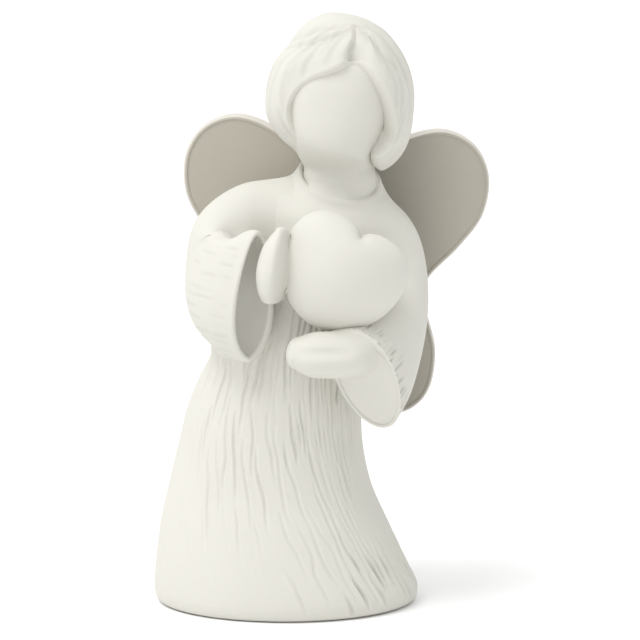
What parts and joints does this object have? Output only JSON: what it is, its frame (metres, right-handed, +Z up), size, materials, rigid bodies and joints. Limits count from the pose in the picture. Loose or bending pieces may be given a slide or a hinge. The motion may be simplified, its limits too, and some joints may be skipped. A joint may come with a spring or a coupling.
{
  "type": "resin angel figurine",
  "caption": "Standing angel figurine in a flared, pleated gown, its two hands holding a heart at the chest, with rounded wings and a flat felt base.",
  "frame": {"origin": "centre of the base oval, on the felt pad's underside where the figurine meets the table", "axes": "+Z up, -Y the way the figure faces, +X towards the figure's own left hand"},
  "size_m": [0.0927, 0.0672, 0.1612],
  "materials": {
    "resin": "matt, bisque-white, fine grain",
    "wing_paint": "satin greige paint, off-white rim",
    "felt": "pressed felt",
    "pin_steel": "bright drawn wire"
  },
  "bodies": {
    "root": {"gown": "resin", "right_sleeve": "resin", "left_sleeve": "resin", "right_hand": "resin", "left_hand": "resin", "heart": "resin", "head": "resin", "hair": "resin", "right_wing": "wing_paint", "left_wing": "wing_paint", "felt_pad": "felt", "heart_pin": "pin_steel", "right_shoulder_pin": "pin_steel", "left_shoulder_pin": "pin_steel", "right_wing_upper_pin": "pin_steel", "right_wing_lower_pin": "pin_steel", "left_wing_upper_pin": "pin_steel", "left_wing_lower_pin": "pin_steel"}
  },
  "joints": []
}
